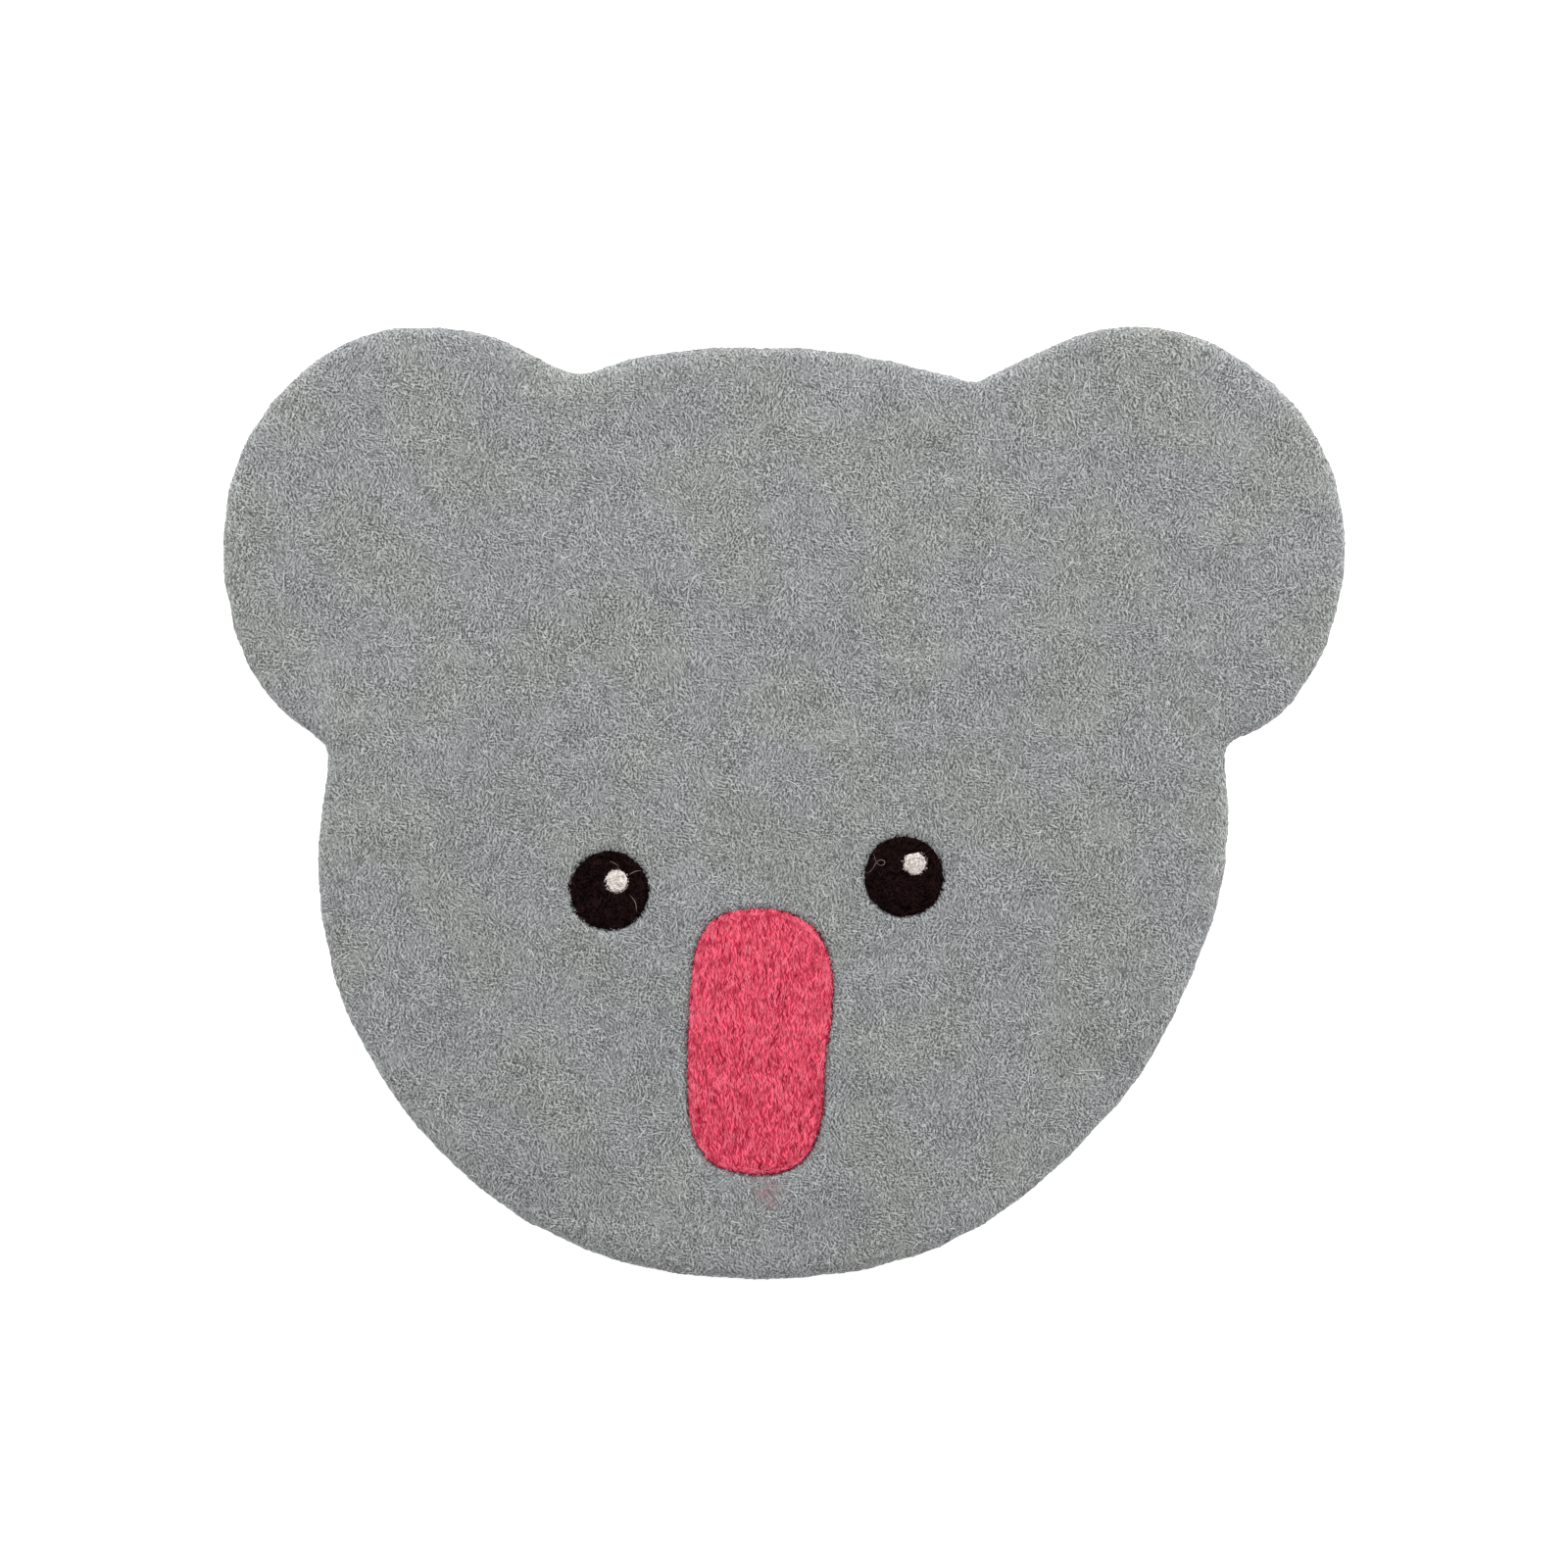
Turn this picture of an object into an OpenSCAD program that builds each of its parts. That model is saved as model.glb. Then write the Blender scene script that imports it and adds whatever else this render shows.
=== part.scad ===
// Felt mat cut as an animal's head with two round ears. The face is needled into the felt:
// two round black eyes, each with a pale highlight, and one long pink nose.
// The mat lies face up. +Z points out of the face, +Y to the top of the head, +X to the right ear.
// The origin is the middle of the outline's box, on the underside.

/* [Mat] */
// Width over both ears
mat_w = 360; // [250:5:500]
// Thickness of the felt
felt_t = 8; // [6:0.5:12]
// Distance that the rounded edge reaches in from the outline
edge_in = 3.5; // [1:0.25:5]

/* [Eyes] */
// Diameter of an eye
eye_d = 25.4; // [18:0.2:30]
// Diameter of an eye's highlight
highlight_d = 7.4; // [4:0.2:9]

/* [Needled pieces] */
// Depth of the eyes and the nose in the felt
inlay_depth = 2; // [1.5:0.25:3]
// Height of an eye's or the nose's crown over the felt
inlay_rise = 0.5; // [0.2:0.1:1]
// Depth of a highlight in its eye
highlight_depth = 1; // [0.5:0.1:1.2]

/* [Hidden] */

// Places and outlines are drawn for a mat this wide, and scaled to mat_w.
DRAWN_W = 360;
plan = mat_w / DRAWN_W;

// Centres of the eyes
LEFT_EYE = [-55.9, -28.1];
RIGHT_EYE = [38.5, -23.6];
// Places of the highlights from the centres of their eyes, in eye diameters
LEFT_SHIFT = [0.1, 0.12];
RIGHT_SHIFT = [0.14, 0.16];

// Knots of the outline, clockwise from the left ear's outer side: [x, y, heading in degrees]
LEFT_EAR = [
    [-180, 80, 90], [-174, 112, 67], [-150.5, 141.5, 37], [-117, 152.6, 0], [-91, 148.4, -20],
    [-76, 141, -29]
];
CROWN = [
    [-66, 137.4, 0], [-56, 139.8, 19], [-41, 143.8, 8], [2, 146.2, -1], [30, 142.5, -9],
    [56, 136.2, -20], [61.5, 134.6, 4], [67, 137, 26]
];
RIGHT_EAR = [
    [87, 146.7, 26], [115, 152.4, -3], [149, 141, -34], [175, 109, -70], [180, 81, -90],
    [175, 53, -111], [160, 29.5, -137], [150, 22.4, -157]
];
RIGHT_CHEEK = [[144, 20, -143], [141.5, 15, -88], [142.8, -5, -92], [136, -42, -110]];
JAW = [
    [119, -80, -120], [93, -112, -137], [59, -138, -153], [-2, -152.6, -180], [-50, -148, -196],
    [-88, -131, -213], [-119, -102.5, -231]
];
LEFT_CHEEK = [
    [-140, -67, -248], [-149, -26, -267], [-147.6, 3, -280], [-146, 13, -272],
    [-147.4, 18.8, -221], [-158, 27, -216], [-166, 35, -228], [-177, 59, -255]
];
HEAD = concat(LEFT_EAR, CROWN, RIGHT_EAR, RIGHT_CHEEK, JAW, LEFT_CHEEK);
HEAD_CENTRE = [0, 60];

// Knots of the nose, clockwise from its top. Its right side is pinched below the middle.
NOSE = [
    [-7.5, -34, 0], [8.5, -39, -40], [15.5, -53, -80], [15.4, -69, -95], [13.4, -82, -94],
    [12.8, -98, -95], [8.5, -112, -122], [-7, -119.3, -180], [-23, -115.4, -217],
    [-30.2, -101, -265], [-30.8, -76, -272], [-29.2, -53, -275], [-23.5, -38.3, -318]
];
NOSE_CENTRE = [-7, -76];

// Degrees that a curve turns between two of its points
TURN_STEP = 6;
// Layers of points in a rounded edge
EDGE_LAYERS = 6;
// Steps from an eye's edge to the top of its dome
DOME_STEPS = 6;
// Smoothness of the round pieces
ROUND = 96;

function unit(angle) = [cos(angle), sin(angle)];

// The turn from one heading to another, from -180 to 180
function turn(a, b) = (b - a + 540) % 360 - 180;

// A stretch between two knots, as [x, y, heading] points. It is a cubic curve, and its handles
// make it a circle's arc where both knots lie on one circle.
function stretch(a, b) =
    let (
        start = [a.x, a.y],
        end = [b.x, b.y],
        handle = norm(end - start) / (3 * pow(cos(turn(a[2], b[2]) / 4), 2)),
        leave = handle * unit(a[2]),
        arrive = handle * unit(b[2]),
        steps = max(2, ceil(abs(turn(a[2], b[2])) / TURN_STEP))
    )
    [for (i = [0 : steps - 1])
        let (
            t = i / steps,
            u = 1 - t,
            place = u * u * (u + 3 * t) * start + t * t * (t + 3 * u) * end
                + 3 * u * t * (u * leave - t * arrive),
            slope = 6 * u * t * (end - start) + 3 * u * (u - 2 * t) * leave
                + 3 * t * (t - 2 * u) * arrive
        )
        [place.x, place.y, atan2(slope.y, slope.x)]
    ];

// A closed outline through its knots, as [x, y, heading] points at the mat's own scale
function outline(knots) =
    [for (i = [0 : len(knots) - 1])
        for (p = stretch(knots[i], knots[(i + 1) % len(knots)]))
            [plan * p.x, plan * p.y, p[2]]
    ];

// The outline moved in by a distance. The inside is on the right of a clockwise heading.
function inset(path, distance) =
    [for (p = path) [p.x, p.y] + distance * unit(p[2] - 90)];

// A closed solid through layers of [distance in, height], lowest first. Straight lines reach
// every point of the path from the centre, so both flat ends are fans of triangles around it.
module layered(path, centre, layers) {
    count = len(path);
    last = len(layers) - 1;
    middle = plan * centre;
    rings = [for (layer = layers) for (p = inset(path, layer[0])) [p.x, p.y, layer[1]]];
    ends = [[middle.x, middle.y, layers[0][1]], [middle.x, middle.y, layers[last][1]]];
    sides = [
        for (k = [0 : last - 1])
            for (i = [0 : count - 1])
                let (
                    low = k * count + i,
                    low_next = k * count + (i + 1) % count
                )
                each [[low, low_next, low + count], [low_next, low_next + count, low + count]]
    ];
    underside = [for (i = [0 : count - 1]) [len(rings), (i + 1) % count, i]];
    top = [
        for (i = [0 : count - 1])
            [len(rings) + 1, last * count + i, last * count + (i + 1) % count]
    ];
    polyhedron(concat(rings, ends), concat(underside, sides, top));
}

// The felt's edge is half an ellipse.
EDGE = [
    for (k = [0 : EDGE_LAYERS])
        let (angle = 180 * k / EDGE_LAYERS - 90)
        [edge_in * (1 - cos(angle)), felt_t / 2 * (1 + sin(angle))]
];

module pocket(place) {
    translate([plan * place.x, plan * place.y, felt_t - inlay_depth])
        cylinder(h = inlay_depth + 1, d = eye_d, $fn = ROUND);
}

module felt_head() {
    color([0.57, 0.58, 0.58])
        difference() {
            layered(outline(HEAD), HEAD_CENTRE, EDGE);
            pocket(LEFT_EYE);
            pocket(RIGHT_EYE);
            translate([0, 0, felt_t - inlay_depth])
                linear_extrude(inlay_depth + 1)
                    polygon(inset(outline(NOSE), 0));
        }
}

// Half the section of an eye, from its flat base to a low dome over the felt
EYE_SECTION = concat(
    [[0, 0], [eye_d / 2, 0]],
    [
        for (k = [0 : DOME_STEPS])
            let (r = eye_d / 2 * (1 - k / DOME_STEPS))
            [r, inlay_depth + inlay_rise * (1 - pow(2 * r / eye_d, 2))]
    ]
);

// The round space of a highlight in the eye at a place, up to a height over the felt
module highlight_space(place, shift, rise) {
    centre = plan * place + eye_d * shift;
    translate([centre.x, centre.y, felt_t - highlight_depth])
        cylinder(h = highlight_depth + rise, d = highlight_d, $fn = ROUND);
}

// An eye is a disc with a low dome, and a pocket for its highlight.
module eye(place, shift) {
    color([0.09, 0.06, 0.05])
        difference() {
            translate([plan * place.x, plan * place.y, felt_t - inlay_depth])
                rotate_extrude($fn = ROUND)
                    polygon(EYE_SECTION);
            highlight_space(place, shift, inlay_rise + 1);
        }
}

module highlight(place, shift) {
    color([0.8, 0.76, 0.73])
        highlight_space(place, shift, inlay_rise);
}

module left_eye() {
    eye(LEFT_EYE, LEFT_SHIFT);
}

module left_eye_highlight() {
    highlight(LEFT_EYE, LEFT_SHIFT);
}

module right_eye() {
    eye(RIGHT_EYE, RIGHT_SHIFT);
}

module right_eye_highlight() {
    highlight(RIGHT_EYE, RIGHT_SHIFT);
}

// The nose stands straight up to the felt's surface, and rounds over to its flat crown.
module nose() {
    color([0.84, 0.31, 0.39])
        layered(outline(NOSE), NOSE_CENTRE, [
            [0, felt_t - inlay_depth],
            [0, felt_t],
            [inlay_rise, felt_t + 0.7 * inlay_rise],
            [3 * inlay_rise, felt_t + inlay_rise]
        ]);
}

felt_head();
left_eye();
left_eye_highlight();
right_eye();
right_eye_highlight();
nose();
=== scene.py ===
"""The looks of a felt animal-head mat: a wet-felted wool sheet with eyes and a nose needled into it.

Shapes are worked out in millimetres and turned into metres where a mesh is made.
"""

import math

import bpy
import numpy as np
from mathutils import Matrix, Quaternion, Vector
from mathutils.bvhtree import BVHTree
from mathutils.geometry import delaunay_2d_cdt


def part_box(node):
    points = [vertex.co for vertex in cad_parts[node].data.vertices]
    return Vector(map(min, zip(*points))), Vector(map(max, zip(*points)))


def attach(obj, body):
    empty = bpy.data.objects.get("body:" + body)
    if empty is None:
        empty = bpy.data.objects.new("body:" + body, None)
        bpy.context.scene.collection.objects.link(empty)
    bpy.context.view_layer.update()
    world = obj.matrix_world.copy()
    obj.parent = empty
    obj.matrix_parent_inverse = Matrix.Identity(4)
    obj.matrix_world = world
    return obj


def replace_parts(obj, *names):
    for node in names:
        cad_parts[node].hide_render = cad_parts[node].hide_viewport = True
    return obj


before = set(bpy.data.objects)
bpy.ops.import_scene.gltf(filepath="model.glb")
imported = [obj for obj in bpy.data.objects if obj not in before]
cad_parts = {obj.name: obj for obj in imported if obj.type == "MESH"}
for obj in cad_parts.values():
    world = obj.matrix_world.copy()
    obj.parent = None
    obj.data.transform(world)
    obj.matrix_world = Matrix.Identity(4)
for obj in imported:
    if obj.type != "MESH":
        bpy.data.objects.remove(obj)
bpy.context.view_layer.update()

MM = 0.001
HEAD_CENTRE = (0, 60)  # mm; straight lines reach the whole outline of the head from here
NOSE_CENTRE = (-7, -76)
EDGE_REACH = 3.5  # mm that the mat's rounded edge reaches in from its outline
EDGE_ROWS = 12  # rows of points down a rounded edge


# ---------------------------------------------------------------- outlines and fields

def node_box(node):
    """The lowest and highest corners of a CAD node, in mm."""
    low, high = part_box(node)
    return np.array(low) / MM, np.array(high) / MM


def cad_ring(node, height, centre):
    """The points of a CAD node's outline at a height, in order around a centre."""
    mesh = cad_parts[node].data
    places = np.empty(len(mesh.vertices) * 3)
    mesh.vertices.foreach_get("co", places)
    places = places.reshape(-1, 3) / MM
    level = abs(places[:, 2] - height) < 0.05
    ring = np.unique(places[level, :2].round(3), axis=0)
    away = ring - centre
    # A flat end has a point of its own at the centre, which isn't on the outline.
    ring, away = (v[np.hypot(*away.T) > 1] for v in (ring, away))
    return ring[np.argsort(np.arctan2(away[:, 1], away[:, 0]))]


def resampled(ring, spacing):
    """The closed ring with its corners cut, at an even spacing."""
    for _ in range(3):
        after = np.roll(ring, -1, axis=0)
        ring = np.stack([0.75 * ring + 0.25 * after, 0.25 * ring + 0.75 * after], 1)
        ring = ring.reshape(-1, 2)
    closed = np.vstack([ring, ring[:1]])
    along = np.concatenate([[0], np.cumsum(np.linalg.norm(np.diff(closed, axis=0), axis=1))])
    stops = np.linspace(0, along[-1], max(12, round(along[-1] / spacing)), endpoint=False)
    return np.stack([np.interp(stops, along, closed[:, k]) for k in (0, 1)], 1)


def circle(centre, radius, spacing=0.5):
    """A round outline."""
    turn = np.linspace(0, 2 * math.pi, round(2 * math.pi * radius / spacing), endpoint=False)
    return np.array(centre) + radius * np.stack([np.cos(turn), np.sin(turn)], 1)


def outward(ring):
    """The outward direction at each point of a ring that runs anticlockwise."""
    along = np.roll(ring, -1, axis=0) - np.roll(ring, 1, axis=0)
    side = np.stack([along[:, 1], -along[:, 0]], 1)
    return side / np.linalg.norm(side, axis=1, keepdims=True)


class Inside:
    """How far inside an outline a place is, in mm: negative outside it."""

    def __init__(self, outline, step, margin=6):
        ring = resampled(outline, step / 2)
        away = outward(ring)
        self.step = step
        self.low = ring.min(0) - margin
        count = np.ceil((ring.max(0) + margin - self.low) / step).astype(int) + 2
        grid = np.stack(np.meshgrid(*[np.arange(n) for n in count], indexing="ij"), -1)
        places = self.low + grid.reshape(-1, 2) * step
        found = np.empty(len(places))
        chunk = 4000
        for first in range(0, len(places), chunk):
            part = places[first:first + chunk]
            square = ((part[:, None] - ring[None]) ** 2).sum(-1)
            near = square.argmin(1)
            gap = np.sqrt(square[np.arange(len(part)), near])
            depth = -((part - ring[near]) * away[near]).sum(-1)
            # Near the ring the depth along its outward direction is the smoother of the two.
            found[first:first + chunk] = np.where(gap < 3, depth, np.copysign(gap, depth))
        self.values = found.reshape(count)

    def __call__(self, places):
        spot = (places - self.low) / self.step
        spot = np.clip(spot, 0, np.array(self.values.shape) - 1.001)
        cell = spot.astype(int)
        x, y = (spot - cell).T
        i, j = cell.T
        v = self.values
        return (
            v[i, j] * (1 - x) * (1 - y) + v[i + 1, j] * x * (1 - y)
            + v[i, j + 1] * (1 - x) * y + v[i + 1, j + 1] * x * y
        )


def noise(places, size, seed):
    """Smooth random values from -1 to 1 with lumps of a size in mm, or (along x, along y)."""
    table = np.random.default_rng(seed).uniform(-1, 1, (128, 128))
    spot = places / np.array(size)
    cell = np.floor(spot).astype(int)
    across = spot - cell
    x, y = (across * across * (3 - 2 * across)).T
    i, j = cell.T % 128
    k, m = (i + 1) % 128, (j + 1) % 128
    return (
        table[i, j] * (1 - x) * (1 - y) + table[k, j] * x * (1 - y)
        + table[i, m] * (1 - x) * y + table[k, m] * x * y
    )


def ramp(values, low, high):
    """A smooth rise from 0 at low to 1 at high."""
    t = np.clip((values - low) / (high - low), 0, 1)
    return t * t * (3 - 2 * t)


# ---------------------------------------------------------------- felt pieces

def make_mesh(name, places, triangles):
    """A smooth mesh object from places in mm."""
    mesh = bpy.data.meshes.new(name)
    mesh.from_pydata((places * MM).tolist(), [], triangles.tolist())
    mesh.shade_smooth()
    piece = bpy.data.objects.new(name, mesh)
    bpy.context.scene.collection.objects.link(piece)
    return piece


def honeycomb(ring, spacing, seed):
    """Places in a slightly uneven honeycomb over the box of a ring."""
    low, high = ring.min(0), ring.max(0)
    rows = np.arange(low[1], high[1], spacing * math.sqrt(0.75))
    columns = np.arange(low[0], high[0], spacing)
    x, y = np.meshgrid(columns, rows)
    x = x + (np.arange(len(rows))[:, None] % 2) * spacing / 2
    places = np.stack([x.ravel(), y.ravel()], 1)
    return places + np.random.default_rng(seed).uniform(-0.16, 0.16, places.shape) * spacing


def filled(loop, inner):
    """Triangles over a closed loop and the places inside it, and those places in their order."""
    places = np.vstack([loop, inner])
    edges = [(i, (i + 1) % len(loop)) for i in range(len(loop))]
    found = delaunay_2d_cdt([tuple(p) for p in places], edges, [], 1, 1e-7)
    kept = np.array([was[0] for was in found[3]])
    triangles = kept[np.array(found[2])]
    a, b, c = (places[triangles[:, k]] for k in range(3))
    turned = np.cross(b - a, c - a) < 0
    triangles[turned] = triangles[turned][:, ::-1]
    return places, triangles


def edge_section(low, high, reach, rows):
    """The half round of a pad's edge: how far out, how high and which way each row faces."""
    lean = np.linspace(math.pi / 2, -math.pi / 2, rows)
    half = (high - low) / 2
    return -reach * (1 - np.cos(lean)), low + half * (1 + np.sin(lean)), lean


def felt_pad(name, outline, heights, reach, spacing, relief, seed, rings=(), under=3.0):
    """A closed piece of felt: its top, its rounded edge and its underside.

    heights are those of the underside and the top, and reach is how far in the rounding goes.
    relief(xy, unfolded, part) is how far the surface stands out, where part is 1 on top, 0 at
    mid height and -1 below. rings are outlines on the top that get rows of points of their own.
    """
    low, high = heights
    rows = EDGE_ROWS
    ring = resampled(outline, spacing * 0.85)
    away = outward(ring)
    count = len(ring)
    inside = Inside(outline, max(spacing * 1.2, 0.3))
    out, up, lean = edge_section(low, high, reach, rows)
    run = np.concatenate([[0], np.cumsum(np.hypot(np.diff(out), np.diff(up)))])
    edge_xy = ring[None] + out[:, None, None] * away[None]
    edge_lay = edge_xy[:1] + run[:, None, None] * away[None]
    facing = np.concatenate([
        np.cos(lean)[:, None, None] * away[None],
        np.broadcast_to(np.sin(lean)[:, None, None], (rows, count, 1)),
    ], -1)
    inner = honeycomb(ring, spacing, seed)
    inner = inner[inside(inner) > reach + 0.6 * spacing]
    for mark in rings:
        inner = inner[abs(Inside(mark, 0.5)(inner)) > 1.5]
    for mark in rings:
        line = resampled(mark, 0.8)
        inner = np.vstack([inner] + [line + outward(line) * off for off in (-1.1, -0.4, 0.3, 1.0)])
    top_xy, top_faces = filled(edge_xy[0], inner)
    below = honeycomb(ring, under, seed + 1)
    below = below[inside(below) > reach + 0.6 * under]
    low_xy, low_faces = filled(edge_xy[-1], below)
    own_top, own_low = top_xy[count:], low_xy[count:]
    tops, lows = len(own_top), len(own_low)
    xy = np.vstack([edge_xy.reshape(-1, 2), own_top, own_low])
    z = np.concatenate([np.repeat(up, count), np.full(tops, high), np.full(lows, low)])
    lay = np.vstack([edge_lay.reshape(-1, 2), own_top, own_low])
    part = np.concatenate([np.repeat(np.sin(lean), count), np.ones(tops), -np.ones(lows)])
    normals = np.vstack([
        facing.reshape(-1, 3), np.tile([0, 0, 1.0], (tops, 1)), np.tile([0, 0, -1.0], (lows, 1)),
    ])
    first_top, first_low = rows * count, rows * count + tops
    top_faces = np.where(top_faces < count, top_faces, top_faces - count + first_top)
    low_faces = np.where(low_faces < count, low_faces + (rows - 1) * count,
                         low_faces - count + first_low)[:, ::-1]
    i = np.arange(count)
    j = (i + 1) % count
    bands = [np.vstack([
        np.stack([k * count + i, (k + 1) * count + i, (k + 1) * count + j], 1),
        np.stack([k * count + i, (k + 1) * count + j, k * count + j], 1),
    ]) for k in range(rows - 1)]
    places = np.column_stack([xy, z]) + normals * relief(xy, lay, part)[:, None]
    places[:, 2] = np.maximum(places[:, 2], low)
    return make_mesh(name, places, np.vstack(bands + [top_faces, low_faces]))


class Surface:
    """The surface of one or more pieces, to lay fibres along."""

    def __init__(self, *pieces):
        places, triangles, count = [], [], 0
        for piece in pieces:
            mesh = piece.data
            spots = np.empty(len(mesh.vertices) * 3)
            mesh.vertices.foreach_get("co", spots)
            corners = np.empty(len(mesh.loops), dtype=np.int64)
            mesh.loops.foreach_get("vertex_index", corners)
            places.append(spots.reshape(-1, 3) / MM)
            triangles.append(corners.reshape(-1, 3) + count)
            count += len(mesh.vertices)
        self.places, self.triangles = np.vstack(places), np.vstack(triangles)
        self.tree = BVHTree.FromPolygons(self.places.tolist(), self.triangles.tolist())
        a, b, c = (self.places[self.triangles[:, k]] for k in range(3))
        cross = np.cross(b - a, c - a)
        self.area = np.linalg.norm(cross, axis=1) / 2
        self.facing = cross[:, 2] / np.maximum(self.area * 2, 1e-9)
        self.middle = (a + b + c) / 3

    def above(self, xy):
        """The highest places at these (x, y)."""
        found = [self.tree.ray_cast((x, y, 50), (0, 0, -1))[0] for x, y in xy]
        return np.array([spot if spot else (0, 0, 0) for spot in found])

    def scatter(self, count, chance, rng):
        """Random places, as likely as their area and chance(places, facing up) make them."""
        weight = self.area * chance(self.middle, self.facing)
        picked = rng.choice(len(weight), count, p=weight / weight.sum())
        share = rng.dirichlet((1, 1, 1), count)
        return (self.places[self.triangles[picked]] * share[..., None]).sum(1)


def tubes(name, points, normals, widths):
    """Thin closed three-sided fibres along rows of points, thinner to their ends, in one piece."""
    count, joints = points.shape[:2]
    along = np.gradient(points, axis=1)
    along /= np.linalg.norm(along, axis=2, keepdims=True)
    side = np.cross(normals, along)
    side /= np.linalg.norm(side, axis=2, keepdims=True)
    up = np.cross(along, side)
    taper = 1 - 0.75 * abs(np.linspace(-1, 1, joints)) ** 3
    half = (widths / 2)[:, None, None] * taper[None, :, None]
    section = ((1.0, -0.35), (0.0, 0.8), (-1.0, -0.35))
    tube = np.stack([points + half * (x * side + y * up) for x, y in section], 2)
    faces = [(2, 1, 0)]
    for k in range(joints - 1):
        for s in range(3):
            a, b = 3 * k + s, 3 * k + (s + 1) % 3
            faces += [(a, b, b + 3), (a, b + 3, a + 3)]
    last = 3 * (joints - 1)
    faces.append((last, last + 1, last + 2))
    first = np.arange(count) * joints * 3
    triangles = (first[:, None, None] + np.array(faces)[None]).reshape(-1, 3)
    return make_mesh(name, tube.reshape(-1, 3), triangles)


def strands(name, surface, starts, headings, lengths, widths, curls, lift, sink=0.05, joints=4):
    """Short fibres that follow a surface and curl, each an arch with both ends in the felt.

    headings are angles seen from above, and curls are how far each fibre turns on its way.
    """
    count = len(starts)
    points = np.empty((count, joints, 3))
    normals = np.empty_like(points)
    arch = lift * (1 - np.linspace(-1, 1, joints) ** 2) - sink
    near = surface.tree.find_nearest
    rows = zip(starts.tolist(), headings.tolist(), lengths.tolist(), curls.tolist())
    for n, (start, heading, length, curl) in enumerate(rows):
        along = Vector((math.cos(heading), math.sin(heading), 0))
        step = length / (joints - 1)
        spot, normal, _, _ = near(Vector(start) - along * (length / 2))
        for k in range(joints):
            points[n, k] = spot + normal * arch[k]
            normals[n, k] = normal
            along = Quaternion(normal, curl / joints) @ along
            along = (along - normal * along.dot(normal)).normalized()
            spot, normal, _, _ = near(spot + along * step)
    return tubes(name, points, normals, widths)


# ---------------------------------------------------------------- materials

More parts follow.
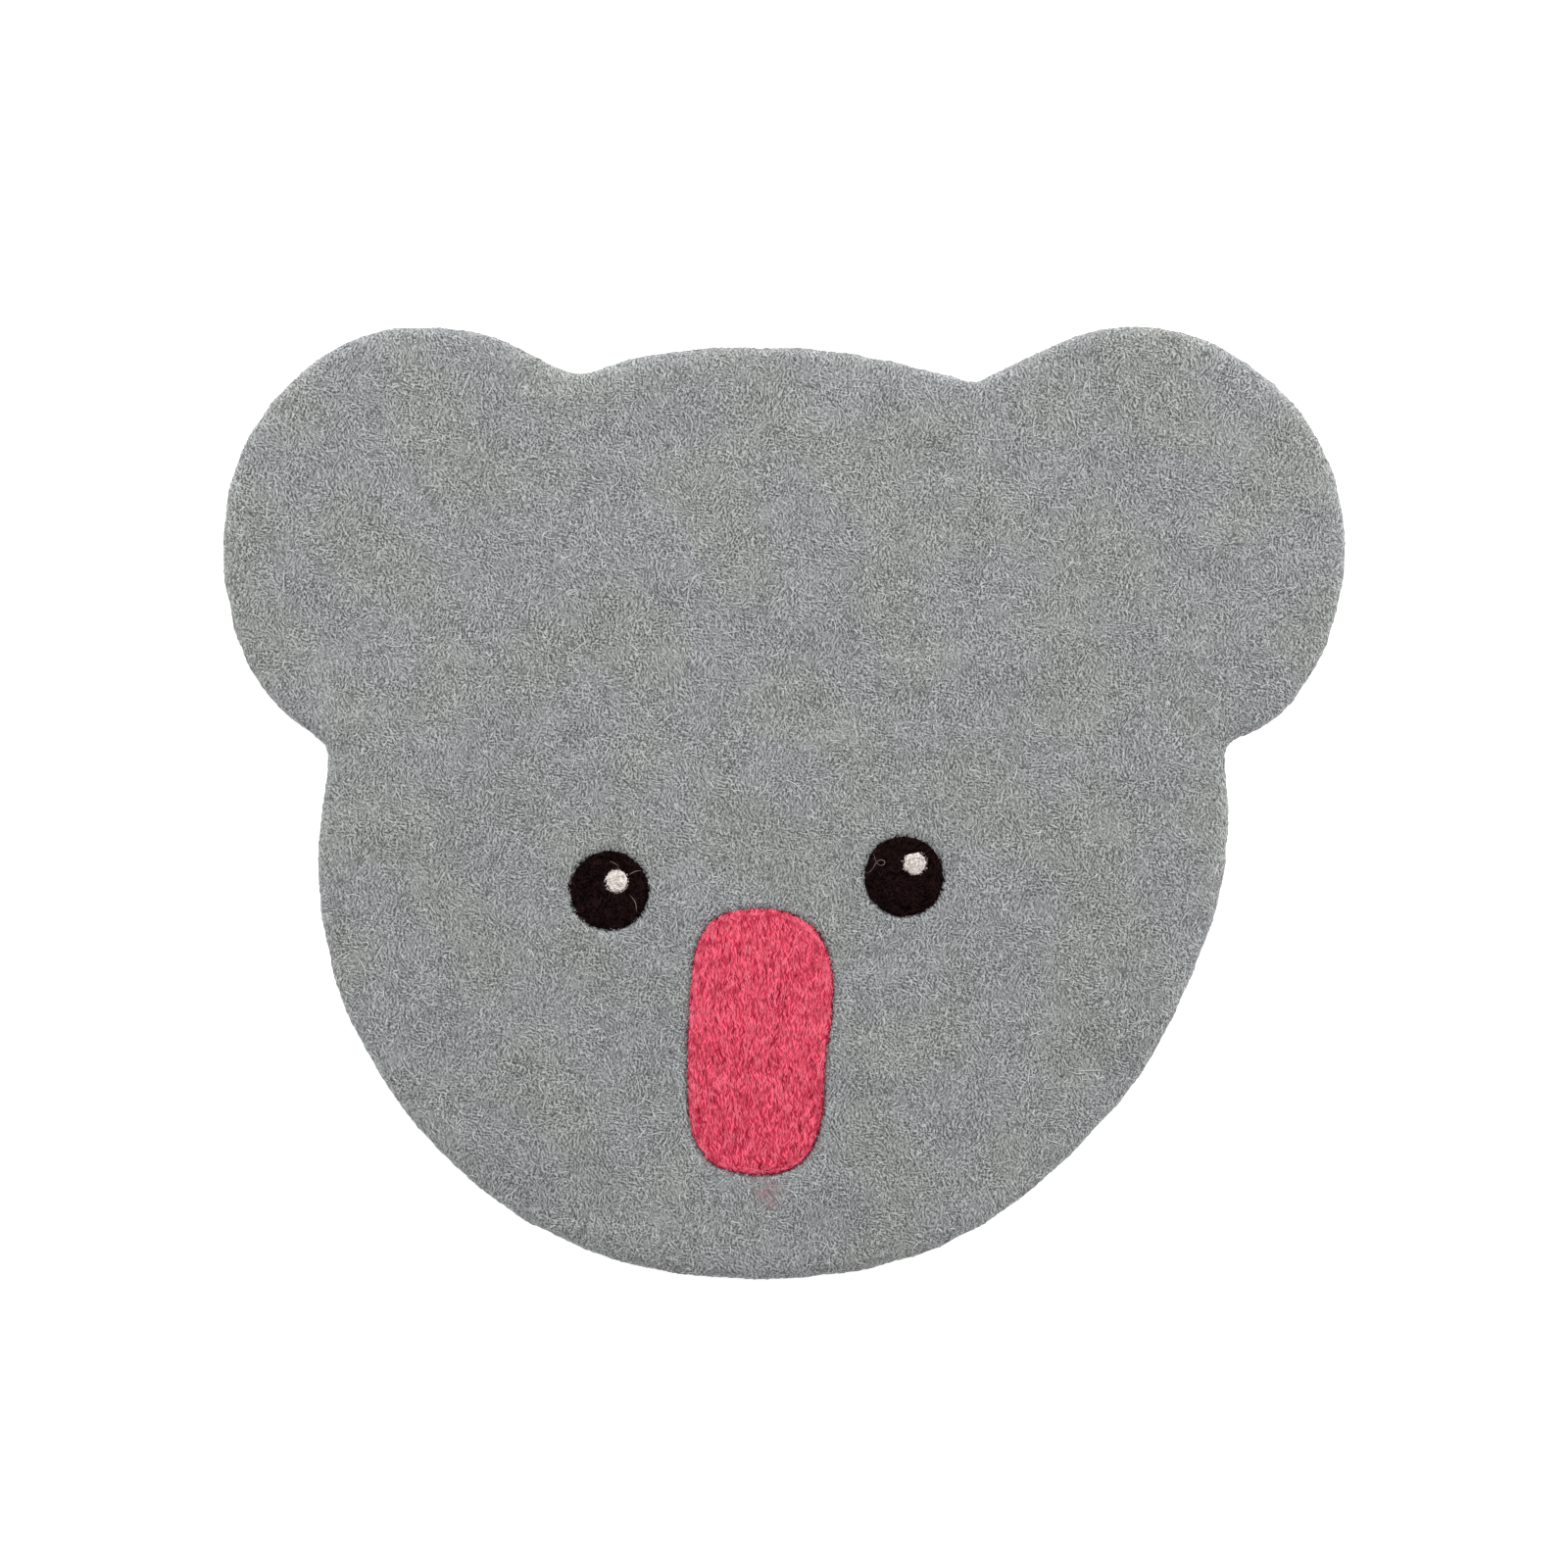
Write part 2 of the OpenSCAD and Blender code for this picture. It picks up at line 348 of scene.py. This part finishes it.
class Shades:
    """The nodes of one material. Sizes are in mm, and each method returns an output."""

    def __init__(self, name):
        self.material = bpy.data.materials.new(name)
        self.material.use_nodes = True
        self.tree = self.material.node_tree
        self.surface = self.tree.nodes["Principled BSDF"]
        where = self.node("TexCoord").outputs["Object"]
        self.place = self.vector("SCALE", where, Scale=1 / MM)

    def node(self, kind, settings=None, **inputs):
        """A new node with its settings and its named inputs."""
        made = self.tree.nodes.new("ShaderNode" + kind)
        for key, value in (settings or {}).items():
            setattr(made, key, value)
        for key, value in inputs.items():
            self.feed(made.inputs[key], value)
        return made

    def feed(self, socket, value):
        """Links a socket to an output, or sets it to a value."""
        if isinstance(value, bpy.types.NodeSocket):
            self.tree.links.new(value, socket)
        else:
            socket.default_value = value

    def vector(self, operation, *values, **inputs):
        """The result of a vector operation."""
        made = self.node("VectorMath", {"operation": operation}, **inputs)
        for socket, value in zip(made.inputs, values):
            self.feed(socket, value)
        return made.outputs[0]

    def maths(self, operation, *values):
        """The result of an operation on numbers."""
        made = self.node("Math", {"operation": operation})
        for socket, value in zip(made.inputs, values):
            self.feed(socket, value)
        return made.outputs[0]

    def fit(self, value, low, high, start=0.0, end=1.0):
        """Where value runs from low to high, a smooth run from start to end."""
        made = self.node("MapRange", {"interpolation_type": "SMOOTHSTEP"})
        for socket, given in zip(made.inputs, (value, low, high, start, end)):
            self.feed(socket, given)
        return made.outputs[0]

    def spot(self, size, seed, place=None):
        """The place, counted in lumps of a size or of (x, y, z) sizes, moved by a seed."""
        sizes = size if isinstance(size, tuple) else (size,) * 3
        scaled = self.vector("MULTIPLY", place or self.place, tuple(1 / s for s in sizes))
        return self.vector("ADD", scaled, (seed * 17.3, seed * 5.1, seed * 11.7))

    def noise(self, size, seed, detail=0.0, place=None, out="Fac"):
        """Noise with lumps of a size, from 0 to 1."""
        made = self.node("TexNoise", Vector=self.spot(size, seed, place), Scale=1.0,
                         Detail=detail)
        return made.outputs[out]

    def swept(self, size, reach, seed):
        """The place, pushed about by up to reach in swirls of a size."""
        push = self.vector("SUBTRACT", self.noise(size, seed, out="Color"), (0.5, 0.5, 0.5))
        return self.vector("ADD", self.place, self.vector("SCALE", push, Scale=4 * reach))

    def strokes(self, width, length, angle, seed, place):
        """Fibre strokes of a width and length that lie at an angle, above and below 0."""
        turned = self.node("VectorRotate", Vector=place, Axis=(0, 0, 1),
                           Angle=-math.radians(angle)).outputs[0]
        beside = self.vector("ADD", turned, (0, width, 0))
        size = (length, width, width)
        one, other = (self.noise(size, seed, place=at) for at in (turned, beside))
        return self.maths("SUBTRACT", one, other)

    def clumps(self, width, length, angles, seed, place):
        """Strokes at several angles across each other, each angle stronger in some places."""
        total = None
        for n, angle in enumerate(angles):
            one = self.strokes(width, length, angle, seed + n, place)
            strong = self.fit(self.noise(9.0, seed + 30 + n), 0.3, 0.7, 0.35, 1.0)
            if total is None:
                total = self.maths("MULTIPLY_ADD", one, strong, 0.5)
            else:
                total = self.maths("MULTIPLY_ADD", one, strong, total)
        return total

    def blend(self, share, low, high):
        """A colour between two colour outputs or values."""
        made = self.node("Mix", {"data_type": "RGBA"})
        # This node has sockets for every kind of value, and 6 and 7 are its two colours.
        for place, value in ((0, share), (6, low), (7, high)):
            self.feed(made.inputs[place], value)
        return made.outputs[2]

    def tint(self, share, low, high):
        """A colour between two given colours."""
        return self.blend(share, (*low, 1), (*high, 1))

    def finish(self, colour, height, depth, rough, sheen):
        """Colour, bump and roughness from one height, and the sheen of wool: black has least."""
        bump = self.node("Bump", Height=height, Strength=1.0, Distance=depth * MM)
        self.feed(self.surface.inputs["Normal"], bump.outputs["Normal"])
        self.feed(self.surface.inputs["Base Color"], colour)
        self.feed(self.surface.inputs["Roughness"], self.fit(height, 0.0, 1.0, *rough))
        self.surface.inputs["Specular IOR Level"].default_value = 0.4 * sheen
        self.surface.inputs["Sheen Weight"].default_value = sheen
        self.surface.inputs["Sheen Roughness"].default_value = 0.5
        return self.material


def grey(level, blue=0.0):
    """The linear grey of the wool, a little green, with more or less blue."""
    return (0.97 * level, level, level * (1 + blue))


def grey_felt():
    """Grey wool felt: wormy clumps of fibre, dark pits between them, and a faint mottling; the
    colour follows the clumps' height, so low places and pits are painted shade.
    """
    s = Shades("grey_felt")
    swept = s.swept(3.0, 0.3, 3)
    clumps = s.clumps(0.5, 1.6, (62, 90, 118, 170), 1, swept)
    height = s.fit(clumps, -0.15, 1.15)
    mottle = s.maths("SUBTRACT", s.noise(13.0, 16, 2.0), 0.5)
    bands = s.maths("SUBTRACT", s.noise((50.0, 8.0, 50.0), 17, 1.0), 0.5)
    # The colour takes the clumps' height: painted shade where they are low and painted light on
    # their tops, with the mottling and bands.
    level = s.maths("MULTIPLY_ADD", mottle, 0.28, s.maths("MULTIPLY_ADD", bands, 0.14, height))
    # Painted shade: dark spots that darken the colour as the shade in pits between the fibres.
    painted_pit_shade = s.fit(s.noise((0.9, 1.5, 0.9), 19), 0.7, 0.8)
    level = s.maths("MULTIPLY_ADD", painted_pit_shade, -0.45, level)
    blue = s.fit(s.noise(30.0, 18), 0.35, 0.65)
    low = s.tint(blue, grey(0.07, -0.035), grey(0.07, 0.025))
    high = s.tint(blue, grey(0.375, -0.035), grey(0.375, 0.025))
    return s.finish(s.blend(level, low, high), height, 0.4, (0.95, 0.8), 0.3)


def plain_felt(name, low, high, width, length, angles, seed, blotchy=0.5, sheen=0.3):
    """A dyed felt of one colour, from its pits to the tops of its fibre strokes: the pits are
    painted darker as shade and the tops lighter as painted light.
    """
    s = Shades(name)
    swept = s.swept(4.0, 0.6, seed)
    height = s.fit(s.clumps(width, length, angles, seed + 1, swept), 0.2, 0.8)
    blotch = s.maths("SUBTRACT", s.noise(8.0, seed + 9), 0.5)
    # The tint follows the strokes' height, painted shade in the pits and painted light on the tops,
    # with random blotches.
    level = s.maths("MULTIPLY_ADD", blotch, blotchy, height)
    return s.finish(s.tint(level, low, high), height, 0.25, (0.95, 0.8), sheen)


def fibre_wool(name, low, high, size, seed, sheen=0.2):
    """Loose fibres: their colour changes from one to the next and a little along each."""
    s = Shades(name)
    height = s.noise(size, seed, 1.0)
    colour = s.tint(s.fit(height, 0.3, 0.7), low, high)
    return s.finish(colour, height, 0.02, (0.9, 0.7), sheen)


def floor_paper():
    """The pale floor: white paper that glows a little, so that shadows on it stay faint."""
    s = Shades("floor_paper")
    height = s.noise(40.0, 1, detail=1.0)
    s.surface.inputs["Emission Color"].default_value = (1, 1, 1, 1)
    s.surface.inputs["Emission Strength"].default_value = 0.5
    colour = s.tint(height, (0.9, 0.9, 0.9), (0.92, 0.92, 0.92))
    return s.finish(colour, height, 0.0, (0.9, 0.9), 0.0)


# ---------------------------------------------------------------- the pieces

def sunk(xy, beds, groove, depth):
    """How far a surface dips in the groove round each inlay and in the bed under it."""
    dip = np.zeros(len(xy))
    for bed in beds:
        inside = bed(xy)
        dip += groove * np.exp(-((inside + 0.1) / 0.8) ** 2) + depth * ramp(inside, 0.3, 1.5)
    return dip


def head_relief(outline, inlays):
    """Gentle rolls and lumps over the head, lower towards its edge and in its inlays' beds."""
    beds = [Inside(inlay, 0.5) for inlay in inlays]
    rim = Inside(outline, 1.5)

    def relief(xy, lay, part):
        rolls = 0.30 * noise(lay, 34, 11) + 0.2 * noise(lay, 13, 12)
        lumps = 0.08 * noise(lay, 5.5, 13) + 0.06 * noise(lay, 2.9, 14)
        under = -0.25 * (1 + noise(xy, 5, 15))
        top = ramp(part, -1, -0.3)
        edge = 0.3 * noise(xy, 7, 16) * (1 - part ** 2)
        height = (rolls + lumps) * top + under * (1 - top) + edge
        # The top falls by 0.6 mm over its last 9 mm, which catches the light round the rim.
        shoulder = 0.6 * (1 - ramp(rim(xy), -1, 9)) + sunk(xy, beds, 0.7, 1.5)
        return height - shoulder * ramp(part, 0.2, 1)

    return relief


def inlay_relief(centre, radius, dome, strand, ragged, seed, inlays=()):
    """A domed inlay with fibre strands of a width and length, and an edge ragged in and out."""
    beds = [Inside(outline, 0.25) for outline in inlays]

    def relief(xy, lay, part):
        away = np.linalg.norm((xy - centre) / radius, axis=1)
        strands_up = 0.14 * noise(lay, strand, seed) + 0.1 * noise(lay, 2.6, seed + 1)
        top = dome * (1 - np.clip(away, 0, 1) ** 2) + strands_up - sunk(xy, beds, 0.5, 1.0)
        return top * ramp(part, -0.9, 0.2) + ragged * noise(xy, 1.7, seed + 2) * (1 - part ** 2)

    return relief


def dress(piece, material):
    """Gives a piece its material and slot and fixes it to the mat."""
    piece.data.materials.clear()
    piece.data.materials.append(material)
    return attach(piece, "root")


def spread(rng, count, low, high):
    """Random numbers between two values."""
    return rng.uniform(low, high, count)


def fringe(name, surface, outline, count, lengths, widths, rng, side=0.0):
    """Hairs across an outline, more of them on its right as side grows."""
    ring = resampled(outline, 0.2)
    away = outward(ring)
    chance = 1 + side * (away[:, 0] > 0.2)
    picked = rng.choice(len(ring), count, p=chance / chance.sum())
    starts = surface.above(ring[picked] + away[picked] * spread(rng, count, -0.3, 0.5)[:, None])
    headings = np.arctan2(away[picked, 1], away[picked, 0]) + rng.normal(0, 0.6, count)
    return strands(name, surface, starts, headings, spread(rng, count, *lengths),
                   spread(rng, count, *widths), rng.normal(0, 1.2, count), 0.2)


# the few long fibres that lie by themselves: x, y, heading, length, curl
LONE_FIBRES = np.array([
    (-103.5, 132.5, 1.6, 11.5, -0.7), (-73, 65, 0.35, 7.8, 0.8),
    (75, 8.5, 0.8, 7.0, 0.9), (-141, -48, 0.7, 8.2, -0.8),
])


def head_fibres(head):
    """The fibres that lie all over the head, the longer ones on its top, and the lone ones."""
    surface = Surface(head)
    rng = np.random.default_rng(33)
    pale = fibre_wool("pale_strands", grey(0.23), grey(0.47), 3.0, 50)
    dull = fibre_wool("grey_strands", grey(0.11), grey(0.27), 3.0, 51)
    bright = fibre_wool("bright_strands", grey(0.32), grey(0.56), 3.0, 60)
    made = []
    for name, wool, count, lift in (("felt_strands_pale", pale, 9900, 0.16),
                                    ("felt_strands_grey", dull, 9900, 0.14)):
        starts = surface.scatter(count, lambda spot, up: up > -0.4, rng)
        made.append(dress(strands(
            name, surface, starts, rng.normal(math.pi / 2, 0.8, count),
            spread(rng, count, 1.6, 4.2), spread(rng, count, 0.26, 0.46),
            rng.normal(0, 1.3, count), lift,
        ), wool))
    lone_xy, (lone_headings, lone_lengths, lone_curls) = LONE_FIBRES[:, :2], LONE_FIBRES[:, 2:].T
    lone_widths = np.full(len(LONE_FIBRES), 0.3)
    count = 900
    starts = np.vstack([surface.above(lone_xy),
                        surface.scatter(count, lambda spot, up: up > 0.9, rng)])
    made.append(dress(strands(
        "felt_strands_long", surface, starts,
        np.concatenate([lone_headings, spread(rng, count, 0, 2 * math.pi)]),
        np.concatenate([lone_lengths, spread(rng, count, 4, 10)]),
        np.concatenate([lone_widths, spread(rng, count, 0.16, 0.27)]),
        np.concatenate([lone_curls, rng.normal(0, 2.2, count)]), 0.25, joints=12,
    ), bright))
    return made


# pale threads caught on the eyes, as places seen from the middle of the eye
CAUGHT = {
    "left_eye": [
        [(0.4, 9.3), (2, 8.7), (3.5, 7.4)],
        [(6.4, 5.0), (8.2, 6.1), (10.4, 6.4)],
        [(6.7, -1.4), (8.6, -3.6), (8.9, -6.8)],
    ],
    "right_eye": [
        [(-12.4, 0.5), (-10.2, 1.9), (-8.9, 4.4), (-7.6, 5.4), (-6.2, 5.1), (-5.9, 4.1),
         (-7.1, 3.3), (-8.3, 3.8), (-9.0, 5.0), (-9.8, 7.6)],
    ],
}


def caught_threads(name, surface, centre, lines):
    """Fine threads through given places, laid on a surface."""
    joints, width, lift = 24, 0.26, 0.12
    rows = []
    for line in lines:
        line = np.array(line, dtype=float)
        for _ in range(3):
            middle = np.stack([0.75 * line[:-1] + 0.25 * line[1:],
                               0.25 * line[:-1] + 0.75 * line[1:]], 1).reshape(-1, 2)
            line = np.vstack([line[:1], middle, line[-1:]])
        along = np.concatenate([[0], np.cumsum(np.linalg.norm(np.diff(line, axis=0), axis=1))])
        stops = np.linspace(0, along[-1], joints)
        xy = np.stack([np.interp(stops, along, line[:, k]) for k in (0, 1)], 1) + centre
        rows.append(surface.above(xy) + [0, 0, lift])
    points = np.array(rows)
    up = np.broadcast_to([0, 0, 1.0], points.shape)
    return tubes(name, points, up, np.full(len(rows), width))


def eye_fibres(head, eyes, pads):
    """Hairs over and round the eyes and their highlights, and the threads caught on them."""
    black = fibre_wool(
        "black_strands", (0.001, 0.0007, 0.0006), (0.014, 0.004, 0.008), 2.0, 52, 0.0)
    brown = fibre_wool("brown_strands", (0.002, 0.001, 0.001), (0.03, 0.011, 0.013), 2.0, 53, 0.0)
    cream = fibre_wool("cream_strands", (0.42, 0.38, 0.36), (0.8, 0.74, 0.7), 1.0, 54, 0.1)
    tan = fibre_wool("tan_strands", (0.09, 0.075, 0.065), (0.2, 0.17, 0.145), 2.0, 55, 0.0)
    made = []
    for seed, side in enumerate(("left_eye", "right_eye")):
        rng = np.random.default_rng(300 + seed)
        centre, radius = eyes[side][:2]
        pad, light = pads[side], pads[side + "_highlight"]
        surface = Surface(pad)
        count = 260
        starts = surface.scatter(count, lambda spot, up: up > 0.4, rng)
        hairs = strands(
            side + "_hairs", surface, starts, rng.normal(1.3, 0.8, count),
            spread(rng, count, 2.5, 6), spread(rng, count, 0.14, 0.24),
            rng.normal(0, 1.5, count), 0.16, joints=6,
        )
        around = Surface(head, pad)
        edge = fringe(side + "_fringe", around, circle(centre, radius), 300, (1.4, 3.0),
                      (0.18, 0.34), rng, 0.8)
        threads = caught_threads(side + "_threads", Surface(pad, head, light), centre, CAUGHT[side])
        made += [dress(hairs, brown), dress(edge, black),
                 dress(threads, tan)]
        surface = Surface(light, pad)
        count = 110
        centre, radius = eyes[side + "_highlight"][:2]
        starts = Surface(light).scatter(count, lambda spot, up: up > 0.3, rng)
        over = strands(
            side + "_highlight_hairs", surface, starts, spread(rng, count, 0, 2 * math.pi),
            spread(rng, count, 1.2, 2.6), spread(rng, count, 0.16, 0.3),
            rng.normal(0, 1.5, count), 0.12,
        )
        spray = fringe(side + "_highlight_fringe", surface, circle(centre, radius - 0.3, 0.3), 46,
                       (0.7, 1.5), (0.12, 0.2), rng)
        made += [dress(over, cream), dress(spray, cream)]
    return made


SMUDGE = (-4.4, -124.8)  # the middle of the faint pink wisps below the nose
SMUDGE_SPREAD = (2.4, 3.0)


def nose_fibres(head, nose, outline):
    """The nose's upright strands, the ones along its edge, its fringe, and a pink smudge below."""
    rng = np.random.default_rng(400)
    pink = fibre_wool("pink_strands", (0.48, 0.025, 0.065), (0.8, 0.15, 0.22), 2.5, 56, 0.1)
    deep = fibre_wool("red_strands", (0.24, 0.008, 0.024), (0.48, 0.03, 0.07), 2.5, 57, 0.0)
    # Dark red hairs for the nose's fringe: partly dark fibres and partly painted shade for the
    # groove round the nose.
    dark = fibre_wool("dark_red_strands_groove_shade", (0.05, 0.005, 0.01), (0.26, 0.02, 0.04), 2.5, 59, 0.0)
    faint = fibre_wool("faint_pink_strands", (0.27, 0.16, 0.18), (0.4, 0.25, 0.28), 2.5, 58, 0.1)
    surface = Surface(nose)
    made = []
    for name, wool, count in (("nose_strands_pink", pink, 1700), ("nose_strands_red", deep, 600)):
        lower_end_shade = 1.0 if wool is deep else -0.3  # more deep red and less pink towards the nose's lower end: painted shade, darker towards the bottom
        starts = surface.scatter(count, lambda spot, up: (up > 0.3) * (
            1 + lower_end_shade * ramp(-spot[:, 1], 92, 112)), rng)
        made.append(dress(strands(
            name, surface, starts, rng.normal(math.pi / 2, 0.2, count),
            spread(rng, count, 2.2, 4.6), spread(rng, count, 0.26, 0.46),
            rng.normal(0, 0.45, count), 0.16,
        ), wool))
    ring = resampled(outline, 0.3)
    away = outward(ring)
    count = 420
    picked = rng.integers(0, len(ring), count)
    starts = surface.above(ring[picked] - away[picked] * spread(rng, count, 0.8, 2.2)[:, None])
    headings = np.arctan2(away[picked, 1], away[picked, 0]) + rng.normal(math.pi / 2, 0.12, count)
    border = strands("nose_border", surface, starts, headings, spread(rng, count, 2.5, 4.5),
                     spread(rng, count, 0.26, 0.42), rng.normal(0, 0.4, count), 0.18)
    around = Surface(head, nose)
    # The fringe across the nose's edge, whose dark red also paints the groove's shade.
    edge = fringe("nose_fringe", around, outline, 760, (1.0, 2.4), (0.16, 0.3), rng, 1.0)
    ring = resampled(outline, 1.0)
    haze = fringe("nose_haze", around, ring + outward(ring), 170, (1.4, 3.0), (0.14, 0.22), rng)
    count = 120
    smudge_at = np.array(SMUDGE) + rng.normal(0, 1, (count, 2)) * SMUDGE_SPREAD
    smudge = strands("nose_wisps", around, around.above(smudge_at),
                     rng.normal(math.pi / 2, 0.8, count), spread(rng, count, 1.5, 3),
                     spread(rng, count, 0.14, 0.24), rng.normal(0, 1.2, count), 0.16)
    made += [dress(border, pink), dress(edge, dark),
             dress(haze, faint), dress(smudge, faint)]
    return made


def make_pieces():
    """The mat, its inlays and their loose fibres."""
    grey_wool = grey_felt()
    black_wool = plain_felt(
        "black_felt", (0.001, 0.0004, 0.0004), (0.009, 0.004, 0.0034), 0.5, 1.8, (20, 75, 140), 20,
        sheen=0.02)
    pale_wool = plain_felt(
        "pale_felt", (0.34, 0.295, 0.275), (0.8, 0.72, 0.68), 0.45, 1.2, (30, 95, 160), 40)
    pink_wool = plain_felt(
        "pink_felt", (0.38, 0.02, 0.045), (0.84, 0.105, 0.175), 0.5, 2.4, (78, 92, 106), 60,
        blotchy=0.3, sheen=0.1)

    low, high = node_box("felt_head")
    outline = cad_ring("felt_head", (low[2] + high[2]) / 2, HEAD_CENTRE)
    eyes = {}
    for name in ("left_eye", "right_eye", "left_eye_highlight", "right_eye_highlight"):
        low_corner, high_corner = node_box(name)
        middle = (low_corner + high_corner) / 2
        eyes[name] = (middle[:2], (high_corner - low_corner)[0] / 2, low_corner[2], high_corner[2])
    nose_low, nose_high = node_box("nose")
    nose_outline = cad_ring("nose", nose_low[2], NOSE_CENTRE)
    marks = [circle(*eyes["left_eye"][:2]), circle(*eyes["right_eye"][:2]), nose_outline]

    head = felt_pad(
        "felt_mat", outline, (low[2], high[2]), EDGE_REACH, 1.25, head_relief(outline, marks), 1,
        rings=marks,
    )
    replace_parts(dress(head, grey_wool), "felt_head")

    # Each relief adds a crown, so the pads start a little off the tops of the CAD nodes.
    pads = {}
    for seed, side in enumerate(("left_eye", "right_eye")):
        centre, radius, base, top = eyes[side]
        pad = felt_pad(
            side + "_felt", circle(centre, radius), (base, top - 0.35), 1.4, 0.4,
            inlay_relief(centre, radius, 0.5, (1.1, 1.1), 0.25, 80 + 5 * seed,
                         [circle(*eyes[side + "_highlight"][:2], 0.3)]),
            2 + seed, under=1.0,
        )
        pads[side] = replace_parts(dress(pad, black_wool), side)
        centre, radius, base, top = eyes[side + "_highlight"]
        pad = felt_pad(
            side + "_highlight_felt", circle(centre, radius - 0.25, 0.3), (base, top + 0.1),
            1.0, 0.3, inlay_relief(centre, radius, 0.35, (0.9, 0.9), 0.2, 95 + 5 * seed),
            4 + seed, under=0.8,
        )
        pads[side + "_highlight"] = dress(pad, pale_wool)
        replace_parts(pad, side + "_highlight")

    middle = ((nose_low + nose_high) / 2)[:2]
    nose = felt_pad(
        "nose_felt", nose_outline, (nose_low[2], nose_high[2] - 0.3), 1.6, 0.45,
        inlay_relief(middle, (nose_high - nose_low)[:2] / 2, 0.5, (0.9, 4.0), 0.25, 110),
        6, under=1.2,
    )
    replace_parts(dress(nose, pink_wool), "nose")
    loose = head_fibres(head) + eye_fibres(head, eyes, pads) + nose_fibres(head, nose, nose_outline)


# ---------------------------------------------------------------- the set

VIEW_PLANE = 4  # mm; the mat's middle height
VIEW_WIDTH = 503.1  # mm of that plane that the picture is wide
VIEW_CENTRE = (0.16, 5.97)
CAMERA_HEIGHT = 1600  # mm over that plane
FLOOR_REACH = 6000  # mm
FLOOR_GAP = 0.02  # mm that the floor lies under the mat
ROOM_LIGHT = (1.35, 0.36)  # strength at the horizon and straight up


def make_camera():
    """Looks straight down, with the top of the head up."""
    data = bpy.data.cameras.new("camera")
    data.lens = data.sensor_width * CAMERA_HEIGHT / VIEW_WIDTH
    data.clip_end = 20
    camera = bpy.data.objects.new("camera", data)
    x, y = VIEW_CENTRE
    camera.location = (x * MM, y * MM, (CAMERA_HEIGHT + VIEW_PLANE) * MM)
    bpy.context.scene.collection.objects.link(camera)
    bpy.context.scene.camera = camera


def make_floor():
    """A wide pale floor."""
    corners = np.array([(-1, -1, 0), (1, -1, 0), (1, 1, 0), (-1, 1, 0)])
    places = corners * FLOOR_REACH + [0, 0, -FLOOR_GAP]
    floor = make_mesh("floor", places, np.array([(0, 1, 2), (0, 2, 3)]))
    floor.data.materials.append(floor_paper())


def area_light(name, place, size, power):
    """A square soft light that faces the mat, in metres and watts."""
    data = bpy.data.lights.new(name, "AREA")
    data.size = size
    data.energy = power
    lamp = bpy.data.objects.new(name, data)
    lamp.location = place
    lamp.rotation_euler = (-Vector(place)).to_track_quat("-Z", "Y").to_euler()
    bpy.context.scene.collection.objects.link(lamp)


def make_light():
    """A white room, brightest at the floor, a key beyond the top of the head, and two fills."""
    world = bpy.data.worlds.new("studio")
    world.use_nodes = True
    nodes, links = world.node_tree.nodes, world.node_tree.links
    nodes["Background"].inputs["Color"].default_value = (1, 1, 1, 1)
    direction = nodes.new("ShaderNodeSeparateXYZ")
    links.new(nodes.new("ShaderNodeTexCoord").outputs["Generated"], direction.inputs[0])
    fade = nodes.new("ShaderNodeMapRange")
    fade.inputs["To Min"].default_value, fade.inputs["To Max"].default_value = ROOM_LIGHT
    links.new(direction.outputs["Z"], fade.inputs["Value"])
    links.new(fade.outputs["Result"], nodes["Background"].inputs["Strength"])
    bpy.context.scene.world = world
    area_light("key", (0, 1.25, 0.9), 1.0, 24.5)
    area_light("left", (-1.8, 0.3, 0.5), 1.0, 15)
    area_light("right", (1.8, 0.3, 0.5), 1.0, 22)
    bpy.context.scene.view_settings.view_transform = "Standard"


make_camera()
make_floor()
make_light()
make_pieces()
